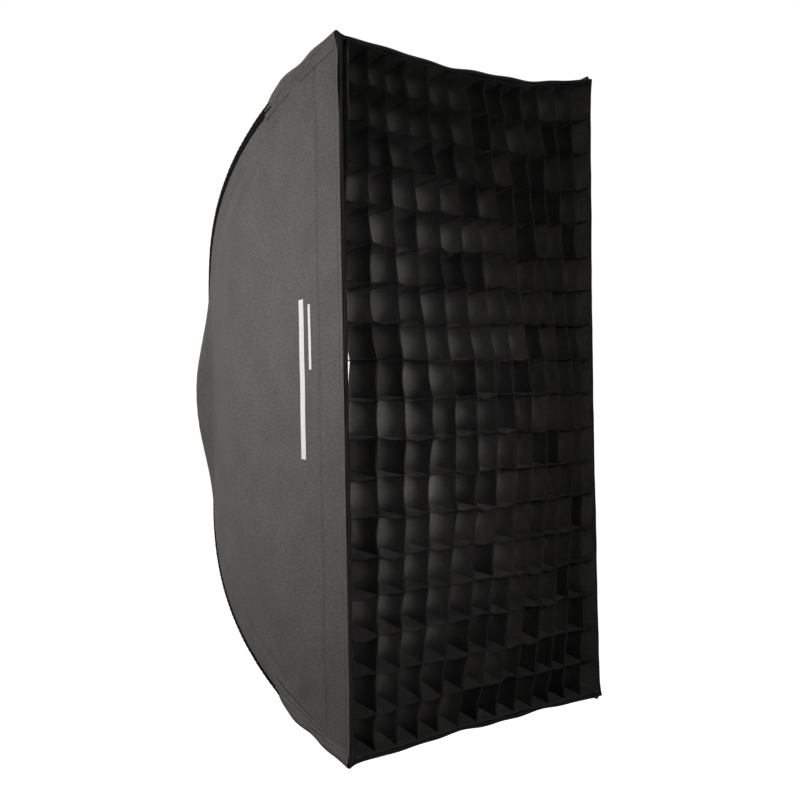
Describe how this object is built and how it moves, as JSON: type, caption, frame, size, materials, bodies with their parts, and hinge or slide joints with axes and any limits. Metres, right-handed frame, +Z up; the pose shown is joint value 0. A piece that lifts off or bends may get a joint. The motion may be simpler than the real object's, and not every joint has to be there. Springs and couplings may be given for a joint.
{
  "type": "folding softbox",
  "caption": "Rectangular folding softbox on a rotating bayonet speed ring: bent spring rods, grey fabric shell, front and inner diffusers, fabric egg-crate grid.",
  "frame": {"origin": "middle of the overall box, which lies on the lamp axis (the ring's axis)", "axes": "+Z up along the long side of the front, -Y out of the front, +Y out of the back to the lamp, +X to the right seen from the front"},
  "size_m": [0.55, 0.389, 0.75],
  "materials": {
    "shell_fabric": "fine-weave coated polyester, dark warm grey",
    "black_fabric": "matt black woven polyester",
    "white_fabric": "matt white translucent diffusion cloth",
    "cast_black": "satin black powder coat on cast aluminium",
    "bright_metal": "turned, clear anodised",
    "steel": "zinc-plated steel",
    "spring_steel": "oil-blacked spring steel",
    "rubber": "matt black",
    "black_plastic": "matt",
    "red_plastic": "satin"
  },
  "bodies": {
    "mount": {"bayonet_adapter": "bright_metal", "retaining_ring": "cast_black", "friction_washer": "black_plastic", "retaining_screw_1": "steel", "retaining_screw_2": "steel", "retaining_screw_3": "steel"},
    "speedring": {"speed_ring": "cast_black", "side_panel_left": "shell_fabric", "side_panel_right": "shell_fabric", "side_panel_top": "shell_fabric", "side_panel_bottom": "shell_fabric", "collar": "shell_fabric", "collar_elastic": "black_fabric", "front_lip_band": "black_fabric", "grid_border": "black_fabric", "egg_crate_grid": "black_fabric", "front_diffuser": "white_fabric", "inner_diffuser": "white_fabric", "diffuser_strap_tl": "black_fabric", "hinge_pin_tl": "steel", "button_spring_tl": "steel", "diffuser_strap_tr": "black_fabric", "hinge_pin_tr": "steel", "button_spring_tr": "steel", "diffuser_strap_bl": "black_fabric", "hinge_pin_bl": "steel", "button_spring_bl": "steel", "diffuser_strap_br": "black_fabric", "hinge_pin_br": "steel", "button_spring_br": "steel"},
    "rod_tl": {"rod_arm_tl": "cast_black", "rod_tl": "spring_steel", "rod_clamp_screw_tl": "steel", "rod_cap_tl": "rubber", "corner_pocket_tl": "black_fabric", "seam_binding_tl": "black_fabric"},
    "rod_tr": {"rod_arm_tr": "cast_black", "rod_tr": "spring_steel", "rod_clamp_screw_tr": "steel", "rod_cap_tr": "rubber", "corner_pocket_tr": "black_fabric", "seam_binding_tr": "black_fabric"},
    "rod_bl": {"rod_arm_bl": "cast_black", "rod_bl": "spring_steel", "rod_clamp_screw_bl": "steel", "rod_cap_bl": "rubber", "corner_pocket_bl": "black_fabric", "seam_binding_bl": "black_fabric"},
    "rod_br": {"rod_arm_br": "cast_black", "rod_br": "spring_steel", "rod_clamp_screw_br": "steel", "rod_cap_br": "rubber", "corner_pocket_br": "black_fabric", "seam_binding_br": "black_fabric"},
    "button_tl": {"release_button_tl": "red_plastic"},
    "button_tr": {"release_button_tr": "red_plastic"},
    "button_bl": {"release_button_bl": "red_plastic"},
    "button_br": {"release_button_br": "red_plastic"}
  },
  "joints": [
    {"name": "ring_rotation", "type": "hinge", "parent": "mount", "child": "speedring", "pos_m": [0, 0.15, 0], "axis": [0, 1, 0], "continuous": true},
    {"name": "rod_fold_tl", "type": "hinge", "parent": "speedring", "child": "rod_tl", "pos_m": [-0.03626, 0.16831, 0.04944], "axis": [0.8064, 0, 0.5914], "range_deg": [0, 50], "deforming": ["side_panel_left", "side_panel_right", "side_panel_top", "side_panel_bottom", "front_lip_band", "grid_border", "egg_crate_grid", "front_diffuser", "inner_diffuser", "diffuser_strap_tl", "diffuser_strap_tr", "diffuser_strap_bl", "diffuser_strap_br"]},
    {"name": "rod_fold_tr", "type": "hinge", "parent": "speedring", "child": "rod_tr", "pos_m": [0.03626, 0.16831, 0.04944], "axis": [0.8064, 0, -0.5914], "range_deg": [0, 50]},
    {"name": "rod_fold_bl", "type": "hinge", "parent": "speedring", "child": "rod_bl", "pos_m": [-0.03626, 0.16831, -0.04944], "axis": [-0.8064, 0, 0.5914], "range_deg": [0, 50]},
    {"name": "rod_fold_br", "type": "hinge", "parent": "speedring", "child": "rod_br", "pos_m": [0.03626, 0.16831, -0.04944], "axis": [-0.8064, 0, -0.5914], "range_deg": [0, 50]},
    {"name": "button_press_tl", "type": "slide", "parent": "speedring", "child": "button_tl", "axis": [0, 1, 0], "range_m": [0, 0.003], "stiffness_N_per_m": 400, "springref_m": -0.001, "deforming": ["button_spring_tl"]},
    {"name": "button_press_tr", "type": "slide", "parent": "speedring", "child": "button_tr", "axis": [0, 1, 0], "range_m": [0, 0.003], "stiffness_N_per_m": 400, "springref_m": -0.001, "deforming": ["button_spring_tr"]},
    {"name": "button_press_bl", "type": "slide", "parent": "speedring", "child": "button_bl", "axis": [0, 1, 0], "range_m": [0, 0.003], "stiffness_N_per_m": 400, "springref_m": -0.001, "deforming": ["button_spring_bl"]},
    {"name": "button_press_br", "type": "slide", "parent": "speedring", "child": "button_br", "axis": [0, 1, 0], "range_m": [0, 0.003], "stiffness_N_per_m": 400, "springref_m": -0.001, "deforming": ["button_spring_br"]}
  ],
  "couplings": [
    {"joint": "rod_fold_tr", "follows": "rod_fold_tl", "ratio": 1},
    {"joint": "rod_fold_bl", "follows": "rod_fold_tl", "ratio": 1},
    {"joint": "rod_fold_br", "follows": "rod_fold_tl", "ratio": 1}
  ]
}
